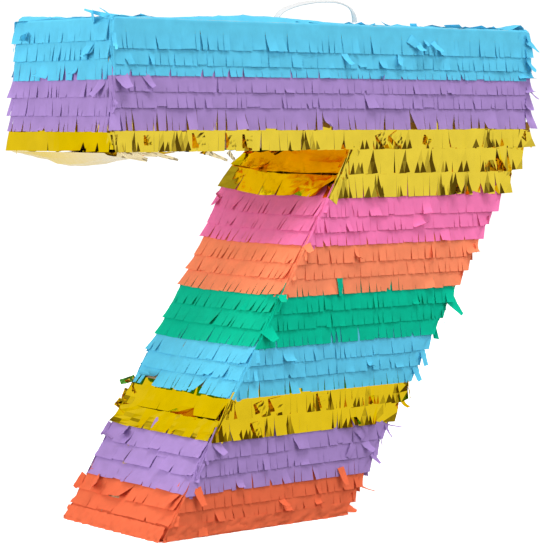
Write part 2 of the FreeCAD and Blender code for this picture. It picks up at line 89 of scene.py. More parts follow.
# Tissue and foil colours, linear
TISSUE_COLOURS = {
    "blue": (0.11, 0.53, 0.75),
    "purple": (0.365, 0.235, 0.53),
    "pink": (0.84, 0.19, 0.43),
    "orange": (0.88, 0.25, 0.12),
    "green": (0.001, 0.46, 0.28),
    "coral": (0.75, 0.145, 0.06),
}
GOLD = (0.90, 0.69, 0.06)
# The next two are copies of the one gold foil for some faces: the first is darker and more orange as
# painted shade, the second brighter and more orange as painted reflection
PAINTED_SHADE_GOLD = (0.85, 0.60, 0.015)
PAINTED_REFLECTION_GOLD = (0.97, 0.72, 0.03)
# Cream that the belly foil turns to towards its front end: a painted reflection of the pale room
PAINTED_REFLECTION_CREAM = (1.0, 0.85, 0.52)
BELLY_GOLD = (0.94, 0.71, 0.14)
# Where along y the belly foil turns from the painted cream reflection to gold
BELLY_PAINTED_REFLECTION_Y = -0.06
BELLY_GOLD_Y = 0.03
WHITE_RIBBON = (0.58, 0.58, 0.58)
KRAFT = (0.42, 0.27, 0.15)
DARK_TAPE = (0.50, 0.36, 0.2)
PALE_TAPE = (0.62, 0.45, 0.27)
TRANSLUCENCY = 0.15
FOIL_CRUMPLE = 0.08

# Studio: panels as (name, place, target, width, height, power), and the room round them
LIGHTS = (
    ("key_left", (-2.3, 0.0, 0.6), (0, 0, 0.3), 1.5, 1.3, 42),
    ("fill_right", (0.9, -2.2, 1.1), (0, 0, 0.25), 1.2, 1.2, 23),
    ("overhead", (-0.2, -1.0, 2.2), (0, 0, 0.2), 1.0, 0.8, 29),
    ("fill_rear", (0.6, 2.3, 1.2), (0, 0, 0.25), 1.2, 1.2, 20),
)
FLOOR_HALF = 12.0
FLOOR_COLOUR = (0.93, 0.93, 0.93, 1)
FLOOR_GLOW = 0.52
DIFFUSE_ABOVE = (0.66, 0.66, 0.66, 1)
DIFFUSE_BELOW = (0.36, 0.36, 0.36, 1)
CAMERA_SURROUND = (1.1, 1.1, 1.1, 1)
BRIGHT_WALL = (0.88, 0.87, 0.85, 1)
MIDDLE_WALL = (0.50, 0.46, 0.40, 1)
DARK_ROOM = (0.10, 0.075, 0.05, 1)
DARK_SIDE = (-0.62, -0.78, 0.1)

# Slabs and layers of fringe, in millimetres
FLOOR_CLEARANCE = 0.2
SLAB_GAP = 0.3
SLAB_TUCK = 4.0
LEAST_OFF = 0.2
FLAP_OFF = 0.6
TUCKED_CURL = 0.9
LOOSE_CURL = 1.8
TUFT_OFF = 1.8
TOP_EDGE = 4.2
TOP_RADIUS = 1.9

# Where the header folded on to the top heaves up: place along the row, reach, height
TOP_HEAVE = (-75.0, 65.0, 4.0)
TOP_FOLDS = (20, 45, 70)
TOP_STEPS = ((3.5, 1.0), (8.0, 0.6), (13.0, 0.1))

# Slits and flaps: shares, millimetres and degrees
FLAP_WIDTHS = (1.5, 2.3)
SLIVER = 3.0
SHORT_SLIT = (0.15, 0.5)
FIRST_ROW_ROOT = 0.6
TUCK_SHARE = 1.2
END_LIKELIHOOD = 2.5
WEDGE_GAP = (0.5, 2.0)
EVEN_FLAPS = 0.93
EVEN_CUT = (0, 0.2)
SHORT_CUT = (0.4, 1.4)
CUT_SKEW = 0.12
OPEN_SWING = (4, 13)
OPEN_LIFT = (6, 20)
OPEN_TWIST = 2.5
CURLED_TURN = (50, 150)
BEND_STEPS = 6

# Stretches that lift together: (reach, height) of those at the ends and of those between
END_WAVE = ((6, 16), (0.8, 2.4))
FREE_WAVE = ((6, 14), (0.4, 1.4))
FREE_WAVE_EVERY = 70
FREE_WAVE_SHARE = 0.4

# Strands and paper folded round the edges
STRAND_COLUMNS = 4
STRAND_LEVELS = 7
STRAND_CRUMPLE = 0.8
WRAP_REACH = 9.0
WRAP_CORNER = 1.6
WRAP_STEP = 4.0

# Foil under the bar: its profile along the bar as (run, share of its depth), and its loose strips
# as share along the bar, heading, (width, length)
BELLY_COLUMNS = 34
BELLY_PROFILE = (
    (-6.0, 0.0), (-3.0, 0.45), (2.0, 0.85), (9.0, 1.0), (20.0, 0.95), (34.0, 0.75), (48.0, 0.45),
    (60.0, 0.0),
)
BELLY_HANG = 2.5
BELLY_SHIFT = 2.4
UNDER_STRIPS = (
    (0.01, (1.0, -0.05, -0.22), (6.0, 26.0)),
    (0.04, (1.0, 0.0, -0.08), (5.0, 28.0)),
    (0.14, (1.0, -0.05, -0.26), (4.0, 24.0)),
    (0.36, (1.0, -0.05, -0.36), (4.0, 20.0)),
    (0.45, (0.5, -0.05, -0.6), (4.0, 9.0)),
)

# Foot wrap and hinge paper
FOOT_COLUMNS = 70
FOOT_ROWS = 20
FOOT_RISES = (0.0, 1.2, 2.6, 4.4, 6.4, 8.6, 11.0)
FOOT_CLEARANCE = 0.15
HINGE_COLUMNS = 30
HINGE_ROWS = 24


def direction(azimuth, elevation):
    """Unit vector from the target back towards a camera."""
    return Vector((
        math.sin(azimuth) * math.cos(elevation),
        -math.cos(azimuth) * math.cos(elevation),
        math.sin(elevation),
    ))


def add_object(name, data):
    added = bpy.data.objects.new(name, data)
    bpy.context.scene.collection.objects.link(added)
    return added


def make_camera():
    data = bpy.data.cameras.new("camera")
    data.lens = LENS_MM
    data.sensor_width = SENSOR_MM
    camera = add_object("camera", data)
    back = direction(CAMERA_AZIMUTH, CAMERA_ELEVATION)
    camera.location = CAMERA_TARGET + back * CAMERA_DISTANCE
    camera.rotation_euler = (-back).to_track_quat("-Z", "Y").to_euler()
    bpy.context.scene.camera = camera


# Materials

class Graph:
    """A node tree in the making."""

    def __init__(self, tree):
        self.tree = tree

    def link(self, source, node, name):
        """Gives a node's socket a link, if the source is a socket, or else a value."""
        if isinstance(source, bpy.types.NodeSocket):
            self.tree.links.new(source, node.inputs[name])
        else:
            node.inputs[name].default_value = source

    def node(self, kind, inputs, **modes):
        """Adds a node with its modes and inputs set, and gives its outputs."""
        node = self.tree.nodes.new(f"ShaderNode{kind}")
        for name, value in modes.items():
            setattr(node, name, value)
        for name, source in inputs.items():
            self.link(source, node, name)
        return node.outputs

    def end(self, name):
        return self.tree.nodes[name]


class Look(Graph):
    """A node material in the making, with its Principled shader."""

    def __init__(self, name):
        self.material = bpy.data.materials.new(name)
        self.material.use_nodes = True
        super().__init__(self.material.node_tree)
        self.shader = self.end("Principled BSDF")

    def put(self, inputs):
        """Sets sockets of the shader."""
        for name, source in inputs.items():
            self.link(source, self.shader, name)

    def place(self):
        return self.node("TexCoord", {})["Object"]

    def noise(self, scale, detail, stretch=None):
        """Object-space noise, stretched along an axis where paper fibres or creases run that way."""
        place = self.place()
        if stretch:
            place = self.node("Mapping", {"Vector": place, "Scale": stretch})["Vector"]
        return self.node("TexNoise", {"Vector": place, "Scale": scale, "Detail": detail})["Fac"]

    def colour(self, source, low, high, span=(0.3, 0.7)):
        """Colours the shader from one colour to another over a span of a source's values."""
        ramp = self.tree.nodes.new("ShaderNodeValToRGB")
        for element, position, colour in zip(ramp.color_ramp.elements, span, (low, high)):
            element.position = position
            element.color = (*colour, 1)
        self.link(source, ramp, "Fac")
        self.put({"Base Color": ramp.outputs["Color"]})
        return ramp.outputs["Color"]

    def bumps(self, *layers):
        """Bump layers, each (height, strength, distance), chained into the shader's normal."""
        chained = {}
        for height, strength, distance in layers:
            inputs = {"Strength": strength, "Distance": distance, "Height": height, **chained}
            chained = {"Normal": self.node("Bump", inputs)["Normal"]}
        self.put(chained)


def shade(colour, factor):
    return tuple(min(1.0, channel * factor) for channel in colour)


def tissue_material(name, colour):
    """Thin matt tissue paper: mottled dye, long fibres, soft creases, and light coming through."""
    look = Look(name)
    dye = look.colour(look.noise(90.0, 5.0), shade(colour, 0.94), shade(colour, 1.06))
    look.put({"Roughness": 0.88, "Specular IOR Level": 0.1})
    look.put({"Sheen Weight": 0.02, "Sheen Roughness": 0.5})
    fibres = look.noise(1400.0, 4.0, (1.0, 1.0, 0.25))
    creases = look.noise(160.0, 2.0, (1.6, 1.6, 0.7))
    look.bumps((creases, 0.2, 0.001), (fibres, 0.15, 0.0001))
    through = look.node("BsdfTranslucent", {"Color": dye})["BSDF"]
    layers = {0: TRANSLUCENCY, 1: look.shader.outputs["BSDF"], 2: through}
    look.link(look.node("MixShader", layers)["Shader"], look.end("Material Output"), "Surface")
    return look.material


def foil_material(name, colour, roughness):
    """Metallised film: a mirror with a gold tint, fine creases and uneven brightness."""
    look = Look(name)
    look.colour(look.noise(60.0, 4.0), shade(colour, 0.93), shade(colour, 1.05))
    look.put({"Specular Tint": (*colour, 1), "Metallic": 1.0, "Roughness": roughness})
    waves = look.noise(110.0, 2.0)
    creases = look.noise(420.0, 3.0)
    look.bumps((waves, FOIL_CRUMPLE, 0.0015), (creases, FOIL_CRUMPLE / 2, 0.0003))
    return look.material


def belly_material():
    """Thin foil that turns from gold at its rear end to cream at its front end; the cream is a
    painted reflection of the pale room.
    """
    look = Look("belly_foil")
    y = look.node("SeparateXYZ", {"Vector": look.place()})["Y"]
    along = look.node("MapRange", {"Value": y, "From Min": BELLY_PAINTED_REFLECTION_Y, "From Max": BELLY_GOLD_Y})
    look.colour(along["Result"], PAINTED_REFLECTION_CREAM, BELLY_GOLD, (0.0, 1.0))
    look.put({"Metallic": 0.9, "Roughness": 0.22})
    look.bumps((look.noise(60.0, 2.0, (1.0, 3.0, 1.0)), 0.22, 0.003))
    return look.material


def board_material():
    """Brown corrugated board: pulp flecks and faint flutes."""
    look = Look("cardboard")
    flecks = look.noise(700.0, 6.0)
    look.colour(flecks, shade(KRAFT, 0.8), shade(KRAFT, 1.15))
    look.put({"Roughness": 0.9})
    flutes = look.node("TexWave", {"Vector": look.place(), "Scale": 45.0})["Fac"]
    look.bumps((flutes, 0.25, 0.0004), (flecks, 0.2, 0.0002))
    return look.material


def tape_material():
    """Kraft paper tape with a dull sheen."""
    look = Look("paper_tape")
    flecks = look.noise(500.0, 5.0)
    look.colour(flecks, DARK_TAPE, PALE_TAPE)
    look.put({"Roughness": 0.6})
    look.bumps((flecks, 0.2, 0.0002))
    return look.material


def ribbon_material():
    """White woven ribbon: fine ribs across a soft sheen."""
    look = Look("white_ribbon")
    weave = look.noise(1800.0, 2.0, (1.0, 0.3, 1.0))
    look.colour(weave, shade(WHITE_RIBBON, 0.93), WHITE_RIBBON)
    look.put({"Roughness": 0.55, "Sheen Weight": 0.3})
    look.bumps((weave, 0.3, 0.0002))
    return look.material


# Paper meshes

class Paper:
    """Collects patches of paper, as points in metres, and turns them into one mesh object."""

    def __init__(self):
        self.points = []
        self.faces = []
        self.material_numbers = []

    def grid(self, rows, material_number=0):
        """Adds a patch from rows of points, all the same length."""
        start = len(self.points)
        columns = len(rows[0])
        for row in rows:
            self.points.extend((p.x, p.y, max(p.z, FLOOR_CLEARANCE * MM)) for p in row)
        for j in range(len(rows) - 1):
            for i in range(columns - 1):
                corner = start + j * columns + i
                self.faces.append((corner, corner + 1, corner + columns + 1, corner + columns))
                self.material_numbers.append(material_number)

    def build(self, name, materials, smooth=True):
        mesh = bpy.data.meshes.new(name)
        mesh.from_pydata(self.points, [], self.faces)
        for material in materials:
            mesh.materials.append(material)
        for polygon, number in zip(mesh.polygons, self.material_numbers):
            polygon.material_index = number
            polygon.use_smooth = smooth
        mesh.validate()
        return add_object(name, mesh)


class Row:
    """One CAD slab of fringe as a local frame: u along it, v up from its free edge, w outwards."""

    def __init__(self, corners, out, up):
        self.out = out
        self.up = up
        self.along = up.cross(out)
        heights = [corner.dot(up) for corner in corners]
        middle = (min(heights) + max(heights)) / 2
        self.base = min(heights)
        self.height = (max(heights) - self.base) / MM
        self.face = min(corner.dot(out) for corner in corners) / MM - SLAB_GAP
        self.low_span = self.span([c for c, h in zip(corners, heights) if h < middle])
        self.high_span = self.span([c for c, h in zip(corners, heights) if h >= middle])
        self.exposed = self.height - SLAB_TUCK
        self.first = False

    def span(self, corners):
        places = [corner.dot(self.along) / MM for corner in corners]
        return min(places), max(places)

    def ends(self, v):
        """u of both ends at a height above the free edge; the slanted ends carry on above it."""
        share = v / self.height
        return [
            max(-BODY_HALF, min(BODY_HALF, low + (high - low) * share))
            for low, high in zip(self.low_span, self.high_span)
        ]

    def point(self, u, v, w):
        """A row-frame point in metres from local millimetres."""
        off = (self.face + w) * MM
        return self.along * (u * MM) + self.up * (self.base + v * MM) + self.out * off


def islands(node):
    """The separate solids in a CAD node, each as its distinct corner points."""
    mesh = frame["nodes"][node].data
    places = {}
    owner = []
    for vertex in mesh.vertices:
        key = tuple(round(c, 6) for c in vertex.co)
        owner.append(places.setdefault(key, len(places)))
    parent = list(range(len(places)))

    def root(index):
        while parent[index] != index:
            index = parent[index]
        return index

    for polygon in mesh.polygons:
        first = root(owner[polygon.vertices[0]])
        for index in polygon.vertices[1:]:
            parent[root(owner[index])] = first
    groups = {}
    for key, index in places.items():
        groups.setdefault(root(index), []).append(Vector(key))
    return list(groups.values())


def leg_slant(wall):
    """Up the slope of one of the leg's side walls, as a unit vector."""
    points = [vertex.co for vertex in frame["nodes"][wall].data.vertices]
    lowest = min(p.z for p in points)
    highest = max(p.z for p in points)
    start = min(p.x for p in points if p.z < lowest + MM / 10)
    end = min(p.x for p in points if p.z > highest - MM / 10)
    return Vector((end - start, 0, highest - lowest)).normalized()


LEFT_UP = leg_slant("leg_left_wall")
RIGHT_UP = leg_slant("leg_right_wall")
BODY_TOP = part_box("front_fringe_upper_blue")[1].z
BODY_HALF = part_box("front_fringe_upper_blue")[1].x / MM
BAR_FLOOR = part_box("bar_underside_wall")[0].z


def row_axes(node, corners):
    """Outward and upward directions of a slab, from the face that its node covers."""
    if node.startswith("front"):
        return -Y_AXIS, Z_AXIS
    if node.startswith(("rear", "flap")):
        return Y_AXIS, Z_AXIS
    if node.startswith("top"):
        return Z_AXIS, X_AXIS
    if node.startswith("underside"):
        return -Z_AXIS, X_AXIS
    on_end = sum(c.z for c in corners) / len(corners) > BAR_FLOOR
    if node.startswith("left"):
        up = Z_AXIS if on_end else LEFT_UP
        return up.cross(Y_AXIS), up
    up = Z_AXIS if on_end else RIGHT_UP
    return Y_AXIS.cross(up), up


def rows_of(node):
    """The rows of fringe in a CAD node, from the top down."""
    rows = []
    for corners in islands(node):
        out, up = row_axes(node, corners)
        row = Row(corners, out, up)
        if up == Z_AXIS and abs(row.base + row.height * MM - BODY_TOP) < MM / 10:
            row.first = True
            row.exposed = row.height
        rows.append(row)
    rows.sort(key=lambda row: (-round(row.base, 5), row.low_span[0]))
    return rows


def cut_places(rng, start, end, style_at):
    """Places of the slits along a row: mostly middling flaps, some narrow, some wide."""
    cuts = [start]
    while cuts[-1] < end:
        style = style_at(cuts[-1])
        reach = style["wide"] - style["narrow"]
        cuts.append(cuts[-1] + style["narrow"] + reach * rng.betavariate(*FLAP_WIDTHS))
    cuts[-1] = end
    if len(cuts) > 2 and cuts[-1] - cuts[-2] < SLIVER:
        cuts.pop(-2)
    return cuts


class Slit:
    """One cut between two flaps: how high it reaches and which way it leans."""

    def __init__(self, rng, row, u, style, seed):
        share = rng.uniform(*(style["root"] if rng.random() > style["short"] else SHORT_SLIT))
        self.root = row.exposed * share * (FIRST_ROW_ROOT if row.first else 1.0)
        drift = noise.noise(Vector((u / 35.0, seed, 4.0)))
        lean = style["drift"] * drift + rng.gauss(style["lean"], style["tilt"])
        self.lean = math.tan(math.radians(lean))


class Flap:
    """How one flap hangs below its slits: gaps beside it, and angles away from the row."""

    def __init__(self, rng, style, at_end):
        chance = rng.random()
        likely = END_LIKELIHOOD if at_end else 1.0
        opened = chance < style["open"] * likely
        curled = not opened and chance < (style["open"] + style["curl"]) * likely
        self.missing = chance > 1 - style["missing"]
        self.swing = 0.0
        self.lift = math.radians(rng.uniform(*style["lift"]))
        self.twist = math.radians(rng.gauss(0, style["twist"]))
        self.curl = math.radians(rng.gauss(0, style["bow"]))
        self.gaps = [rng.uniform(*style["gap"]), rng.uniform(*style["gap"])]
        if rng.random() < style["wedge"]:
            self.gaps[rng.randint(0, 1)] += rng.uniform(*WEDGE_GAP)
        if rng.random() < style["turned"]:
            self.twist = math.radians(rng.uniform(*style["turn"]))
            self.lift += abs(self.twist)
        self.shorten = rng.uniform(*(EVEN_CUT if rng.random() < EVEN_FLAPS else SHORT_CUT))
        self.skew = rng.gauss(0, CUT_SKEW)
        if opened:
            self.swing = math.tan(math.radians(rng.choice((-1, 1)) * rng.uniform(*OPEN_SWING)))
            self.lift += math.radians(rng.uniform(*OPEN_LIFT))
            self.twist *= OPEN_TWIST
        if curled:
            self.curl += math.radians(rng.uniform(*CURLED_TURN))

    def hang(self, side, root, v):
        """How far the sheet has moved at a height v: sideways, up and outwards."""
        if v >= root:
            return 0.0, 0.0, 0.0
        slope = self.lift + side * self.twist
        up = out = 0.0
        length = root - v
        for step in range(BEND_STEPS):
            share = (step + 0.5) / BEND_STEPS * length / root
            angle = slope * min(1.0, share * 3) + self.curl * share ** 2
            up += (1 - math.cos(angle)) * length / BEND_STEPS
            out += math.sin(angle) * length / BEND_STEPS
        gap = self.gaps[0] if side < 0 else -self.gaps[1]
        ease = min(1.0, length / root * 1.5)
        return abs(side) * gap * ease + self.swing * length, up, out


def stand_off(rng, start, end, style):
    """Stretches of a row's free edge that lift together: (middle, reach, height)."""
    waves = []
    for place in (start, end):
        if rng.random() < style["end_wave"]:
            waves.append((place, *(rng.uniform(*span) for span in END_WAVE)))
    for _ in range(int((end - start) / FREE_WAVE_EVERY)):
        if rng.random() < FREE_WAVE_SHARE:
            waves.append((rng.uniform(start, end), *(rng.uniform(*span) for span in FREE_WAVE)))
    return waves


def end_rules(node, row):
    """How a face's rows end, left then right: ranges of the inset and of more at the free edge."""
    plain = ((0.0, 1.5), (-2.5, 3.5))
    leans = abs(row.low_span[0] - row.high_span[0]) > 1
    if node.startswith("front") and leans:
        return ((0.0, 1.5), (0.0, 3.5)), ((-0.5, 1.0), (-6.5, -2.0))
    if node.startswith("rear") and leans:
        return ((-0.5, 1.0), (-6.5, -2.0)), ((0.0, 1.5), (0.0, 3.5))
    if node.startswith("left"):
        front_corner = ((2.5, 7.0), (-1.0, 2.0)) if row.up == Z_AXIS else ((0.5, 4.5), (-3.5, 0.8))
        return ((-0.5, 1.0), (-2.5, -0.5)), front_corner
    if node.startswith("front"):
        return plain, ((-5.0, -1.5), (-6.0, -1.0))
    return plain, plain


def over_the_edge(u, seed):
    """A first row's header folded on to the top, as (rise above the row's top, depth) for each step.
    It heaves up along one stretch, where the layers below it aren't stuck down."""
    middle, reach, height = TOP_HEAVE
    swell = 4.5 * max(0.0, noise.noise(Vector((u / 16.0, seed, 2.0))) - 0.12)
    swell += height * math.exp(-((u - middle) / reach) ** 2)
    places = []
    for degrees in TOP_FOLDS:
        angle = math.radians(degrees)
        places.append((TOP_RADIUS * math.sin(angle), TOP_RADIUS * (math.cos(angle) - 1)))
    places.append((TOP_RADIUS + swell * 0.5, -TOP_RADIUS))
    for run, part in TOP_STEPS:
        dent = 0.5 * noise.noise(Vector((u / 7.0, run, seed)))
        places.append((TOP_RADIUS + swell * part + dent * part, -TOP_RADIUS - run))
    return places


def swell_at(bulges, row, u, v):
    """How far the layers under a point of a row stand off the board."""
    height = row.point(u, v, 0).z / MM
    swell = 0.0
    for middle, reach, depth, flat_height, full_height in bulges:
        fall = min(1.0, max(0.0, (flat_height - height) / (flat_height - full_height)))
        swell += depth * fall * math.exp(-((u - middle) / reach) ** 2)
    return swell


def fringe_row(paper, row, rng, style, ends, bulges, rough):
    """Cuts one row: an uncut header, then flaps between slits that each reach their own height."""
    start, end = row.low_span
    exposed = row.exposed
    top = row.height - TOP_EDGE if row.first else row.height + style["under"]
    inset_left, flare_left = (rng.uniform(*span) for span in ends[0])
    inset_right, flare_right = (rng.uniform(*span) for span in ends[1])

    def style_at(u):
        if rough and rough[0] <= u <= rough[1]:
            return rough[2]
        return style

    cuts = cut_places(rng, start, end, style_at)
    seed = rng.uniform(0, 100)
    slits = [Slit(rng, row, u, style_at(u), seed) for u in cuts]
    waves = stand_off(rng, start, end, style)

    def surface(u, v):
        """Height of the sheet off the layers below before any flap moves."""
        share = max(0.0, 1.0 - v / row.height)
        tip = style["tip"] + style["wave"] * noise.noise(Vector((u / 30.0, seed, 0)))
        for middle, reach, height in waves:
            tip += height * math.exp(-((u - middle) / reach) ** 2)
        crease = style["crease"]
        ripple = style["ripple"] * noise.noise(Vector((u / crease, v / crease, seed)))
        return max(LEAST_OFF, 0.35 + tip * share + ripple * min(1.0, 0.4 + share))

    def edge_inset(v):
        """How far both ends draw in at a height; a first row is whole along the top."""
        share = max(0.0, 1.0 - v / exposed)
        hold = min(1.0, share * 4) if row.first else 1.0
        return (
            (inset_left + flare_left * share) * hold,
            (inset_right + flare_right * share) * hold,
        )

    for number in range(len(cuts) - 1):
        left, right = cuts[number], cuts[number + 1]
        flap = Flap(rng, style_at((left + right) / 2), number in (0, len(cuts) - 2))
        near, far = slits[number], slits[number + 1]
        columns = (
            (left, near.root, near.lean, -1.0),
            ((left + right) / 2, (near.root + far.root) / 2, (near.lean + far.lean) / 2, 0.0),
            (right, far.root, far.lean, 1.0),
        )
        levels = [exposed * share for share in style["levels"]]
        levels = [level for level in levels if level < top - 0.5] + [top]
        if flap.missing:
            cutoff = min(near.root, far.root)
            levels = [cutoff] + [level for level in levels if level > cutoff]
        grid = []
        for v in levels:
            line = []
            row_left, row_right = row.ends(v)
            draw_left, draw_right = edge_inset(v)
            row_left += draw_left
            row_right -= draw_right
            for place, root, lean, side in columns:
                u = place
                if place == start:
                    u = row_left
                if place == end:
                    u = row_right
                u = min(max(u, row_left), row_right)
                sideways, up, out = flap.hang(side, root, v)
                free = max(0.0, 1.0 - v / root)
                raise_by = max(0.0, (flap.shorten + side * flap.skew) * free)
                shift = sideways - lean * max(0.0, root - v)
                if (place == start or place == end) and v < root:
                    shift = sideways
                off = surface(u, v)
                off = max(off + out, off * 0.55, FLAP_OFF) if v < exposed else off
                off += swell_at(bulges, row, u, v)
                line.append(row.point(u + shift, v + up + raise_by, off))
            grid.append(line)
        if row.first:
            folds = [over_the_edge(place, seed) for place, *_ in columns]
            for step in range(len(folds[0])):
                line = []
                row_left, row_right = row.ends(row.height)
                for (place, *_), fold in zip(columns, folds):
                    u = min(max(place, row_left), row_right)
                    rise, depth = fold[step]
                    off = surface(place, top) + swell_at(bulges, row, place, top) + depth
                    line.append(row.point(u, top + rise, off))
                grid.append(line)
        paper.grid(grid, 0 if row.up == Z_AXIS else 1)


def strand(paper, root, heading, facing, size, rng, bend, taper=0.4):
    """A loose bit of paper that runs from its root along a heading and bends towards its facing."""
    width, length = size
    heading = heading.normalized()
    facing = (facing - heading * facing.dot(heading)).normalized()
    across = heading.cross(facing)
    seed = rng.uniform(0, 100)
    angle = 0.0
    place = root.copy()
    last = STRAND_LEVELS - 1
    grid = []
    for level in range(STRAND_LEVELS):
        line = []
        half = width * (1 - taper * level / last) / 2
        for column in range(STRAND_COLUMNS):
            share = column / (STRAND_COLUMNS - 1) * 2 - 1
            jolt = noise.noise(Vector((column * 0.9, level * 0.8, seed))) * STRAND_CRUMPLE
            pull = noise.noise(Vector((column * 0.7, level * 0.9, seed + 7))) * STRAND_CRUMPLE * 0.5
            line.append(place + across * ((share * half + pull) * MM) + facing * (jolt * MM))
        grid.append(line)
        angle += math.radians(bend) / last * (0.5 + level / STRAND_LEVELS)
        step = length / last * MM
        place = place + (facing * math.sin(angle) + heading * math.cos(angle)) * step
    paper.grid(grid)


def edge_wrap(paper, start, end, faces, rng, crumple):
    """Paper folded round an edge of the board: it follows the edge and lies on both its faces."""
    first, second = faces
    steps = max(3, int((end - start).length / MM / WRAP_STEP))
    seed = rng.uniform(0, 100)
    grid = []
    for step in range(steps + 1):
        middle = start.lerp(end, step / steps)
        line = []
        for side, out, inward in ((0, first, second), (1, second, first)):
            hem = WRAP_REACH * (0.8 + 0.5 * noise.noise(Vector((step * 0.45, seed, side * 9.0))))
            half = []
            for share in (1.0, 0.6, 0.25):
                dent = noise.noise(Vector((step * 0.7, share * 5 + side * 9, seed)))
                off = 0.45 + crumple * (0.6 + dent)
                half.append(middle - inward * (hem * share * MM) + out * (max(0.25, off) * MM))
            line.append(half)
        bulge = WRAP_CORNER + crumple * noise.noise(Vector((step * 0.6, 3.3, seed)))
        turns = []
        for turn in (0.25, 0.5, 0.75):
            angle = turn * math.pi / 2
            blend = (first * math.cos(angle) + second * math.sin(angle)).normalized()
            turns.append(middle + blend * (bulge * MM))
        grid.append(line[0] + turns + line[1][::-1])
    paper.grid(grid)


# How rows are cut and hang. narrow, wide: flap widths; root, short: height of the slits as a share
# of the row, and how many are short; lift, twist, bow: degrees off the row; tilt, drift, lean:
# degrees the slits stand askew; open, curl, missing, wedge, turned: shares of the flaps; tip, wave,
# ripple, crease: how the sheet stands off; under: how far it goes on under the row above.
TISSUE = {
    "narrow": 3.5, "wide": 15, "lift": (0, 4.5), "twist": 2.6, "tilt": 1.4, "drift": 6,
    "lean": 0, "bow": 2.5, "gap": (0.12, 0.38), "wedge": 0.16, "open": 0.05, "curl": 0.014,
    "missing": 0.003, "wave": 0.35, "tip": 1.1, "root": (0.6, 1.05), "short": 0.2, "under": 8,
    "end_wave": 0.35, "ripple": 0.2, "crease": 9, "turned": 0, "turn": (0, 0),
    "levels": (0, 0.1, 0.25, 0.4, 0.6, 0.8, 1),
}
FOIL = dict(TISSUE, wide=13, lift=(-0.3, 1.2), twist=1.2, tilt=2, bow=1.5, gap=(0.05, 0.2),
            curl=0.004, missing=0, wave=0.2, tip=1, under=10, wedge=0.12, ripple=0.08,
            turned=0.3, turn=(7, 13), levels=(0, 0.5, 1))
ROUGH_FOIL = dict(FOIL, twist=10, bow=30, lift=(0, 16), wave=1.6, open=0.25, ripple=1.1,
                  levels=(0, 0.3, 0.65, 1))
SMOOTH_FOIL = dict(FOIL, narrow=14, wide=60, short=0.85, open=0.03, curl=0, turned=0.1,
                   turn=(12, 16))
BROAD_FOIL = dict(FOIL, narrow=9, wide=34, short=0.6, lift=(0, 5), twist=3, open=0.08,
                  ripple=0.9, crease=17, wave=1, turned=0.14, turn=(12, 17),
                  levels=(0, 0.35, 0.7, 1))
TOP = dict(TISSUE, narrow=8, wide=30, short=0.5, lift=(0, 3), wave=0.3, end_wave=0.3, tip=0.8)
DROOP = dict(FOIL, lift=(0, 5), twist=2, bow=4, narrow=7, wide=22, tip=1, turned=0)
FLARED = dict(TISSUE, lift=(4, 18), open=0.12, curl=0.03, twist=3)
HEM = dict(TISSUE, narrow=7, wide=30, short=0.6, ripple=1.9, crease=7, wave=0.8, tip=1.4,
           lift=(0, 7))
RIGHT_FOIL = dict(FOIL, lift=(4, 20))
# Where a row of foil on the front is badly crumpled, as shares of its length
ROUGH_STRETCHES = {"front_fringe_upper_gold": (0.84, 0.95), "front_fringe_lower_gold": (0.68, 1.0)}
# How far a node's top row goes on above its slab, where that isn't its style's own
GOLD_TOP_ROW_UNDER = 2.0
TOP_ROW_UNDER = {"right_fringe_upper_gold": 4.5, "flap_fringe_upper_blue": -0.5}


def style_of(node, row):
    """Which way a row is cut and hangs, from its node's colour and the face it is on."""
    foil = "gold" in node
    upright = row.up == Z_AXIS
    if node.startswith("underside"):
        return DROOP
    if node.startswith("top"):
        return TOP
    if row.base < 2 * MM:
        return HEM
    if node.startswith("right"):
        return RIGHT_FOIL if foil else FLARED
    if foil and node.startswith("left"):
        return SMOOTH_FOIL if upright else BROAD_FOIL
    return FOIL if foil else TISSUE


def bulges_of(node, row):
    """Where layers stand off the board together, growing downwards: (place along the row, reach,
    depth, height where it starts, height where it is whole)."""
    if not node.startswith("left"):
        return ()
    rear = row.low_span[0]
    floor = BAR_FLOOR / MM
    if row.up == Z_AXIS:
        return ((rear, 34.0, 10.0, BODY_TOP / MM, floor),)
    return (
        (rear, 26.0, 10.0, floor + 4.0, floor - 22.0),
        (rear, 30.0, -8.0, floor - 40.0, floor - 85.0),
    )


def rough_part(node, row):
    """Where along a row of foil on the front it is badly crumpled, and how."""
    if node not in ROUGH_STRETCHES:
        return None
    start, end = row.low_span
    first, last = (start + (end - start) * share for share in ROUGH_STRETCHES[node])
    return first, last, ROUGH_FOIL


def fringe_piece(node, rng, material, leg_material):
    """The cut fringe that stands for one CAD node, on the same body."""
    paper = Paper()
    rows = rows_of(node)
    for row in rows:
        style, ends = style_of(node, row), end_rules(node, row)
        if row.base > rows[0].base - MM:
            under = GOLD_TOP_ROW_UNDER if "gold" in node else style["under"]
            style = dict(style, under=TOP_ROW_UNDER.get(node, under))
        fringe_row(paper, row, rng, style, ends, bulges_of(node, row), rough_part(node, row))
    add_wraps(paper, node, rng)
    for tuft in TUFTS.get(node, ()):
        add_tuft(paper, rng, node, *tuft)
    for curl in FACE_CURLS.get(node, ()):
        add_face_curl(paper, rng, node, rows, *curl)
    piece = paper.build(f"{node}_cut", [material, leg_material], slot_of(node) != "gold_foil")
    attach(piece, body_of(node))
    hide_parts(node)


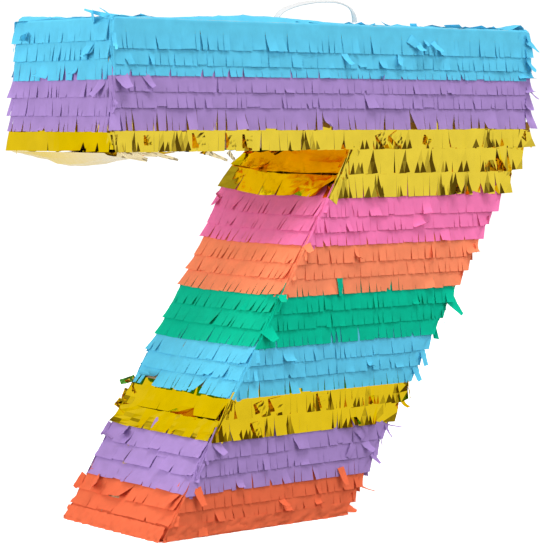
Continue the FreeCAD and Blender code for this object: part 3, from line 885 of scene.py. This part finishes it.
def board_edges():
    """The board body's corners that paper is folded round: (bottom, top, its two faces)."""
    points = [vertex.co for vertex in frame["nodes"]["front_panel"].data.vertices]
    low, top = min(p.z for p in points), max(p.z for p in points)
    left, right = min(p.x for p in points), max(p.x for p in points)
    foot = [p.x for p in points if p.z < low + MM / 10]
    bend = min(p.z for p in points if p.x > right - MM / 10)
    rise = (BAR_FLOOR - low) / LEFT_UP.z
    edges = {}
    for side, y, out in (
        ("front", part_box("front_panel")[0].y, -Y_AXIS),
        ("rear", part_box("rear_panel")[1].y, Y_AXIS),
    ):
        left_foot = Vector((min(foot), y, low))
        edges[side] = (
            (Vector((left, y, BAR_FLOOR)), Vector((left, y, top)), (out, -X_AXIS)),
            (Vector((right, y, bend)), Vector((right, y, top)), (out, X_AXIS)),
            (left_foot, left_foot + LEFT_UP * rise, (out, LEFT_UP.cross(Y_AXIS))),
            (Vector((max(foot), y, low)), Vector((right, y, bend)), (out, Y_AXIS.cross(RIGHT_UP))),
        )
    return edges


def add_wraps(paper, node, rng):
    """Folds a band's paper round the corners of the body, between the band's own levels."""
    side = node.split("_fringe_")[0]
    if side not in EDGES:
        return
    low, high = (corner.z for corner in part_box(node))
    for start, end, faces in EDGES[side]:
        bottom = max(low, start.z)
        ceiling = min(high - SLAB_TUCK * MM, end.z)
        if ceiling - bottom < 4 * MM:
            continue
        rise = end.z - start.z
        first = start.lerp(end, (bottom - start.z) / rise)
        last = start.lerp(end, (ceiling - start.z) / rise)
        edge_wrap(paper, first, last, faces, rng, crumple=0.9 if "gold" in node else 0.5)
        middle = (faces[0] + faces[1]).normalized()
        for _ in range(rng.randint(1, 3)):
            spot = first.lerp(last, rng.uniform(0.35, 1.0)) + middle * (WRAP_CORNER * MM)
            size = (rng.uniform(2.5, 6.0), rng.uniform(6.0, 12.0))
            heading = -Z_AXIS + (last - first).normalized().cross(middle) * rng.gauss(0, 0.2)
            strand(paper, spot, heading, middle, size, rng, rng.uniform(-5, 50))


# Loose bits that stand out from a node's edges: which edge, share of the band's height, heading,
# facing, (width, length), bend, taper
TUFTS = {
    "front_fringe_green": (
        (3, 0.72, (0.62, -0.25, -0.9), (0.2, -1, 0.1), (13, 19), 10, 0.75),
        (2, 0.95, (-0.3, -0.6, -1), (-0.6, -1, 0.4), (7, 12), 70, 0.5),
        (2, 0.35, (0.5, -0.4, -1), (-0.3, -1, 0.4), (12, 13), 50, 0.5),
    ),
    "front_fringe_lower_blue": (
        (3, 0.62, (0.1, -0.1, -1), (0.3, -1, 0), (8, 13), 15, 0.2),
        (3, 0.32, (0.25, -0.1, -1), (0.3, -1, 0), (9, 13), 15, 0.3),
    ),
    "front_fringe_lower_gold": (
        (3, 0.95, (0, -0.1, -1), (0.4, -1, 0), (2, 17), 15, 0.5),
        (3, 0.6, (0.2, -0.2, -1), (0.5, -1, 0), (9, 12), 60, 0.3),
    ),
    "front_fringe_lower_purple": (
        (3, 0.9, (0.9, -0.1, -0.25), (0.2, -1, 0.3), (1.6, 17), 25, 0.5),
        (3, 0.9, (0.1, -0.1, -1), (0.3, -1, 0.2), (5, 12), 45, 0.6),
        (3, 0.38, (0.45, -0.2, -0.9), (0.3, -1, 0), (8, 11), 30, 0.8),
    ),
    "front_fringe_coral": (
        (3, 0.68, (1, -0.2, -0.55), (0.2, -1, 0.3), (1.6, 17), 25, 0.5),
        (3, 0.2, (0.8, -0.2, -0.5), (0.3, -1, 0), (8, 10), 60, 0.7),
    ),
    "front_fringe_upper_blue": (
        (1, 0.78, (0.9, 0, -0.75), (0.5, -0.8, 0.3), (12, 18), 12, 0.85),
        (1, 0.45, (0.45, 0, -1), (0.7, -0.8, 0), (13, 15), 40, 0.3),
        (0, 0.985, (-0.12, 0.95, 0.16), (-1, 0, 0.5), (5, 30), 15, 0.7),
        (0, 0.98, (-0.1, 0.9, 0.45), (-1, 0, 0.2), (1.4, 16), 10, 0.6),
    ),
    "front_fringe_upper_purple": (
        (1, 0.8, (0.9, 0.1, -0.72), (0.1, -1, 0.5), (3, 18), 20, 0.8),
        (1, 0.5, (0.3, 0, -1), (0.6, -1, 0), (8, 10), 90, 0.5),
    ),
    "front_fringe_upper_gold": (
        (1, 0.85, (0.35, -0.1, -1), (0.3, -1, 0), (10, 12), 20, 0.7),
    ),
    "rear_fringe_upper_gold": (
        (0, 1, (-0.3, 0.2, -1), (-1, -0.5, 0), (6, 9), 40, 0.5),
    ),
    "rear_fringe_pink": (
        (2, 0.98, (-0.9, 0, -0.5), (-0.6, -0.8, 0.3), (12, 18), 50, 0.6),
        (2, 0.55, (-0.9, 0.1, -0.7), (-0.6, -0.8, 0.3), (8, 11), 60, 0.7),
    ),
    "front_fringe_orange": (
        (2, 0.95, (0.3, -0.4, -1), (-0.6, -1, 0.4), (7, 13), 110, 0.5),
    ),
    "rear_fringe_lower_gold": (
        (2, 1, (-1, 0.1, -0.2), (-0.4, -1, 0.4), (6, 16), 20, 0.3),
        (2, 0.5, (-0.8, 0.2, -0.9), (-0.6, -0.8, 0.4), (10, 14), 110, 0.3),
        (2, 0.75, (-0.5, 0, -0.9), (-0.6, -0.8, 0.4), (9, 13), 80, 0.3),
    ),
    "rear_fringe_lower_purple": (
        (2, 0.9, (-0.9, 0.1, -0.7), (-0.6, -0.8, 0.4), (9, 14), 20, 0.85),
    ),
    "rear_fringe_coral": (
        (2, 0.85, (-0.9, 0.1, -0.7), (-0.6, -0.8, 0.4), (11, 15), 20, 0.7),
    ),
}
# Bits torn or folded on a node's face: row, share along it, share up it, heading (along, up, out),
# (width, length), bend
FACE_CURLS = {
    "front_fringe_upper_blue": (
        (0, 0.68, 0.52, (0.8, -0.6, 0.4), (8, 14), -40),
        (0, 0.7, 0.38, (0.2, -1, 0.6), (7, 12), 60),
        (0, 0.725, 0.45, (-0.4, -0.9, 0.5), (6, 12), 80),
        (0, 0.74, 0.42, (0.5, -0.8, 0.5), (5, 12), 30),
        (1, 0.66, 1, (-0.5, -1, 0.4), (8, 12), 30),
        (1, 0.52, 1, (0.4, -1, 0.4), (6, 12), 40),
    ),
    "front_fringe_upper_purple": (
        (0, 0.02, 1.1, (0.3, -1, 0.4), (12, 13), 30),
        (0, 0.07, 1.1, (0.5, -0.9, 0.3), (6, 12), 20),
        (0, 0.62, 1.05, (-0.7, 0.2, 0.5), (4, 8), 30),
    ),
    "front_fringe_upper_gold": (
        (0, 0.075, 0.8, (0.1, -1, 0.36), (5, 8), 0),
        (0, 0.185, 0.9, (0.05, -1, 0.36), (10, 12), 0),
        (0, 0.255, 0.9, (0, -1, 0.34), (8, 12), 5),
        (0, 0.295, 0.8, (-0.1, -1, 0.36), (8, 11), 0),
        (0, 0.61, 0.8, (0.35, -1, 0.38), (9, 10), 0),
        (0, 0.645, 0.85, (0.5, -1, 0.4), (11, 11), 0),
        (0, 0.735, 0.7, (-0.3, -1, 0.36), (7, 8), 0),
    ),
    "front_fringe_lower_gold": (
        (0, 0.17, 0.75, (0.3, -1, 0.36), (9, 10), 0),
        (0, 0.25, 0.9, (0.1, -1, 0.36), (13, 12), 0),
        (0, 0.51, 0.85, (-0.1, -1, 0.36), (11, 12), 0),
        (1, 0.2, 0.8, (0.1, -1, 0.36), (8, 11), 0),
    ),
    "front_fringe_lower_purple": (
        (0, 0.8, 1, (0.6, -0.8, 0.4), (7, 13), -30),
        (1, 0.84, 1, (-0.6, -0.8, 0.4), (7, 14), -30),
        (1, 0.9, 1, (0.6, -0.9, 0.4), (7, 12), 50),
        (0, 0.04, 1, (0.5, -1, 0.4), (8, 12), 40),
    ),
    "front_fringe_green": (
        (0, 0.28, 2.1, (0.03, -1, 0.05), (6, 16), 0),
    ),
    "front_fringe_coral": (
        (0, 0.83, 1.6, (0.15, -1, 0.4), (7, 15), 10),
        (1, 0.57, 1, (0.3, -0.9, 0.6), (6, 10), 70),
        (0, 0.05, 1.5, (0.2, -1, 0.4), (8, 15), 10),
    ),
    "left_fringe_upper_blue": (
        (0, 0.12, 0.3, (0.9, -0.3, 0.6), (7, 11), 60),
        (0, 0.8, 0.85, (0.9, 0.2, 0.3), (10, 16), 30),
        (1, 0.78, 1, (-0.3, -1, 0.3), (9, 14), 20),
    ),
    "left_fringe_upper_purple": (
        (0, 0.9, 1, (-0.4, -0.9, 0.4), (8, 15), 20),
    ),
    "left_fringe_lower_purple": (
        (0, 0.15, 0.85, (0.6, -0.7, 0.4), (9, 15), 20),
    ),
    "left_fringe_coral": (
        (0, 0.1, 0.8, (0.8, -0.6, 0.3), (11, 20), 20),
        (0, 0.93, 0.95, (0.1, -1, 0.5), (9, 16), 10),
    ),
}


def add_tuft(paper, rng, node, edge, share, heading, facing, size, bend, taper):
    """Hangs one listed loose bit from an edge of the body at a share of its band's height."""
    start, end, faces = EDGES[node.split("_fringe_")[0]][edge]
    low, high = (corner.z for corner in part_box(node))
    height = min(max(low + (high - low) * share, start.z), end.z)
    place = start.lerp(end, (height - start.z) / (end.z - start.z))
    place += (faces[0] + faces[1]).normalized() * (TUFT_OFF * MM)
    strand(paper, place, Vector(heading), Vector(facing), size, rng, bend, taper=taper)


def add_face_curl(paper, rng, node, rows, number, share, height, heading, size, bend):
    """Fixes one listed bit of torn paper on a row, just proud of its sheet."""
    row = rows[number]
    v = row.exposed * height
    start, end = row.ends(v)
    u = start + (end - start) * share
    proud = TUCKED_CURL if 1.0 <= height <= TUCK_SHARE else LOOSE_CURL
    root = row.point(u, v, proud + swell_at(bulges_of(node, row), row, u, v))
    along, up, out = heading
    towards = row.along * along + row.up * up + row.out * out
    strand(paper, root, towards, row.out, size, rng, bend)


def body_of(node):
    for body, members in frame["record"]["behaviour"]["bodies"].items():
        if node in members:
            return body
    raise KeyError(node)


def slot_of(node):
    for entry in frame["record"]["subparts"]:
        if entry["node"] == node:
            return entry["material_slot"]
    raise KeyError(node)


EDGES = board_edges()


def bar_belly(material):
    """A slack sheet of foil that hangs in a belly below the bar's left end, and loose strips."""
    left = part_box("bar_left_end_wall")[0].x
    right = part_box("bar_underside_wall")[1].x
    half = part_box("front_panel")[0].y
    paper = Paper()
    grid = []
    for run, part in BELLY_PROFILE:
        line = []
        for column in range(BELLY_COLUMNS + 1):
            share = column / BELLY_COLUMNS
            y = half * (1 - 2 * share) * 0.98
            depth = 3.0 + 10.5 * math.exp(-((y / MM + 5.0) / 52.0) ** 2)
            crease = 1.6 * noise.noise(Vector((share * 9 + run * 0.12, run * 0.08, 1.0)))
            drop = (depth + crease) * part + BELLY_HANG * (1 - part)
            line.append(Vector((left + (run - BELLY_SHIFT) * MM, y, BAR_FLOOR - drop * MM)))
        grid.append(line)
    paper.grid(grid)
    rng = random.Random(5)
    for share, heading, size in UNDER_STRIPS:
        root = Vector((left + (right - left) * share, half, BAR_FLOOR - BELLY_HANG * MM))
        strand(paper, root, Vector(heading), Vector((-0.3, -1, 0.1)), size, rng, 10.0, taper=0.5)
    piece = paper.build("bar_belly_foil", [material], smooth=False)
    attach(piece, "shell")


def foot_wrap(material):
    """Coral tissue over the foot: a flat sheet underneath with creased sides folded up."""
    low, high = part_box("foot_base_paper")
    paper = Paper()
    floor = low.z + FOOT_CLEARANCE * MM
    left_slope, right_slope = LEFT_UP.x / LEFT_UP.z, RIGHT_UP.x / RIGHT_UP.z
    mean_slope = (left_slope + right_slope) / 2
    sides = (
        ((low.x, low.y), (high.x, low.y), -Y_AXIS, mean_slope),
        ((high.x, low.y), (high.x, high.y), X_AXIS, right_slope),
        ((high.x, high.y), (low.x, high.y), Y_AXIS, mean_slope),
        ((low.x, high.y), (low.x, low.y), -X_AXIS, left_slope),
    )
    sheet = []
    for row in range(FOOT_ROWS + 1):
        line = []
        for column in range(FOOT_COLUMNS + 1):
            x = low.x + (high.x - low.x) * column / FOOT_COLUMNS
            y = low.y + (high.y - low.y) * row / FOOT_ROWS
            rise = 0.25 * (1 + noise.noise(Vector((column * 0.5, row * 0.5, 0.0))))
            line.append(Vector((x, y, floor + rise * MM)))
        sheet.append(line)
    paper.grid(sheet)
    for number, (start, end, out, slope) in enumerate(sides):
        grid = []
        for rise in FOOT_RISES:
            line = []
            for column in range(FOOT_COLUMNS + 1):
                share = column / FOOT_COLUMNS
                x = start[0] + (end[0] - start[0]) * share + slope * rise * MM
                y = start[1] + (end[1] - start[1]) * share
                fold = noise.noise(Vector((share * 24 + rise * 0.4, rise * 0.45, number * 5.0)))
                crease = noise.noise(Vector((share * 60, rise * 1.1, number * 3.0)))
                off = max(0.1, 1.9 + 2.4 * fold + 0.9 * crease)
                line.append(Vector((x, y, floor + rise * MM)) + out * (off * MM))
            grid.append(line)
        paper.grid(grid)
    piece = paper.build("foot_wrap_paper", [material])
    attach(piece, body_of("foot_base_paper"))
    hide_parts("foot_base_paper")


def hinge_paper(material):
    """The paper tape over the fill flap's top edge."""
    low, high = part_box("hinge_tape")
    paper = Paper()
    grid = []
    for row in range(HINGE_ROWS + 1):
        line = []
        for column in range(HINGE_COLUMNS + 1):
            x = low.x + (high.x - low.x) * column / HINGE_COLUMNS
            z = high.z + (low.z - high.z) * row / HINGE_ROWS
            crease = 0.06 * noise.noise(Vector((column * 0.6, row * 0.5, 3.0)))
            line.append(Vector((x, high.y + crease * MM, z)))
        grid.append(line)
    paper.grid(grid)
    piece = paper.build("hinge_paper", [material])
    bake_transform(piece)
    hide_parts("hinge_tape")


# Hanging ribbon

def loop_curve():
    """The loop's centreline, a smooth curve over its route's points."""
    curve = bpy.data.curves.new("hanging_ribbon_line", "CURVE")
    curve.dimensions = "3D"
    spline = curve.splines.new("NURBS")
    spline.points.add(len(LOOP_POINTS) - 1)
    for point, place in zip(spline.points, LOOP_POINTS):
        point.co = (*(c * MM for c in place), 1.0)
    spline.order_u = 3
    spline.use_endpoint_u = True
    curve.resolution_u = 16
    return add_object("hanging_ribbon_line", curve)


def hanging_ribbon(material):
    """A flat ribbon along the loop's centreline, turning a little as it rises and falls."""
    line = loop_curve()
    bpy.context.view_layer.update()
    sampled = bpy.data.meshes.new_from_object(line)
    path = [vertex.co.copy() for vertex in sampled.vertices]
    bpy.data.objects.remove(line)
    paper = Paper()
    section = []
    for corner in range(RIBBON_CORNERS):
        angle = math.tau * corner / RIBBON_CORNERS
        across = math.copysign(abs(math.cos(angle)) ** RIBBON_SQUARENESS, math.cos(angle))
        through = math.copysign(abs(math.sin(angle)) ** RIBBON_SQUARENESS, math.sin(angle))
        section.append((across * RIBBON_WIDTH / 2, through * RIBBON_THICKNESS / 2))
    section.append(section[0])
    grid = []
    for number, place in enumerate(path):
        ahead = path[min(number + 1, len(path) - 1)]
        behind = path[max(number - 1, 0)]
        heading = (ahead - behind).normalized()
        share = number / (len(path) - 1)
        degrees = RIBBON_TURN + RIBBON_END_TURN * max(0.0, share * 4 - 3) + 4 * math.sin(share * 9.0)
        turn = math.radians(degrees)
        side = (Y_AXIS - heading * Y_AXIS.dot(heading)).normalized()
        normal = heading.cross(side)
        wide = side * math.cos(turn) + normal * math.sin(turn)
        thin = heading.cross(wide)
        grid.append([place + wide * (a * MM) + thin * (b * MM) for a, b in section])
    paper.grid(grid)
    piece = paper.build("hanging_ribbon", [material])
    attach(piece, "loop")
    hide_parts("hang_loop")


# Studio

def make_floor():
    """A wide pale floor that fades into the background."""
    mesh = bpy.data.meshes.new("floor")
    corners = [(x * FLOOR_HALF, y * FLOOR_HALF, 0) for x, y in ((-1, -1), (1, -1), (1, 1), (-1, 1))]
    mesh.from_pydata(corners, [], [(0, 1, 2, 3)])
    floor = add_object("floor", mesh)
    look = Look("floor")
    look.put({"Base Color": FLOOR_COLOUR, "Roughness": 0.9})
    look.put({"Emission Color": (1, 1, 1, 1), "Emission Strength": FLOOR_GLOW})
    mesh.materials.append(look.material)
    floor.visible_diffuse = False
    floor.visible_glossy = False


def area_light(name, place, target, width, height, power):
    """A soft panel, seen neither by the camera nor in mirrors."""
    data = bpy.data.lights.new(name, "AREA")
    data.shape = "RECTANGLE"
    data.size = width
    data.size_y = height
    data.energy = power
    light = add_object(name, data)
    light.location = place
    light.rotation_euler = (Vector(target) - Vector(place)).to_track_quat("-Z", "Y").to_euler()
    light.visible_camera = False
    light.visible_glossy = False


def make_surround():
    """The room: white to the camera, soft for light, and part dark where foil mirrors it."""
    world = bpy.data.worlds.new("surround")
    bpy.context.scene.world = world
    world.use_nodes = True
    graph = Graph(world.node_tree)

    def ramp(source, first, last):
        inputs = {"Value": source, "From Min": first, "From Max": last}
        return graph.node("MapRange", inputs, interpolation_type="SMOOTHSTEP")["Result"]

    def mix(factor, low, high):
        return graph.node("Mix", {"Factor": factor, "A": low, "B": high}, data_type="RGBA")["Result"]

    place = graph.node("TexCoord", {})["Generated"]
    height = graph.node("SeparateXYZ", {"Vector": place})["Z"]
    facing = graph.node("VectorMath", {0: place, 1: DARK_SIDE}, operation="DOT_PRODUCT")["Value"]
    ray = graph.node("LightPath", {})
    walls = mix(ramp(height, 0.55, 0.9), BRIGHT_WALL, DARK_ROOM)
    ring = mix(ramp(facing, 0.45, 0.75), walls, DARK_ROOM)
    room = mix(ramp(facing, 0.86, 0.95), ring, MIDDLE_WALL)
    soft = mix(ramp(height, -0.2, 0.1), DIFFUSE_BELOW, DIFFUSE_ABOVE)
    seen = mix(ray["Is Glossy Ray"], soft, room)
    graph.link(mix(ray["Is Camera Ray"], seen, CAMERA_SURROUND), graph.end("Background"), "Color")


def make_studio():
    """The panels, and colours shown as they are."""
    for light in LIGHTS:
        area_light(*light)
    bpy.context.scene.view_settings.view_transform = "Standard"


make_camera()
ribbon = ribbon_material()
hanging_ribbon(ribbon)
make_floor()
make_surround()
make_studio()

board = board_material()
tape = tape_material()
tissues = {
    name: tissue_material(f"{name}_tissue", colour) for name, colour in TISSUE_COLOURS.items()
}
gold = foil_material("gold_foil", GOLD, 0.1)
# Darker and amber copies of the gold foil: painted shade and painted reflection on the faces listed
# below
painted_shade_gold = foil_material("deep_gold_foil", PAINTED_SHADE_GOLD, 0.1)
painted_reflection_gold = foil_material("amber_gold_foil", PAINTED_REFLECTION_GOLD, 0.12)

PLAIN = {"edge_tapes": tape, "cord_tails": ribbon}
# Bar-end and leg materials of the gold nodes that take those copies, as painted shade and painted
# reflection
PAINTED_LIGHT_GOLDS = {
    "left_fringe_upper_gold": (painted_shade_gold, painted_reflection_gold),
    "left_fringe_lower_gold": (painted_shade_gold, painted_shade_gold),
    "front_fringe_lower_gold": (painted_shade_gold, painted_shade_gold),
}
for number, (node, item) in enumerate(sorted(frame["nodes"].items())):
    if "fringe" in node:
        kind = slot_of(node)
        material = tissues.get(kind.replace("_tissue", ""), gold)
        materials = PAINTED_LIGHT_GOLDS.get(node, (material, material))
        fringe_piece(node, random.Random(number), *materials)
        continue
    for slot_item in item.material_slots:
        slot_item.material = PLAIN.get(node, board)

bar_belly(belly_material())
foot_wrap(tissues["coral"])
hinge_paper(tape)
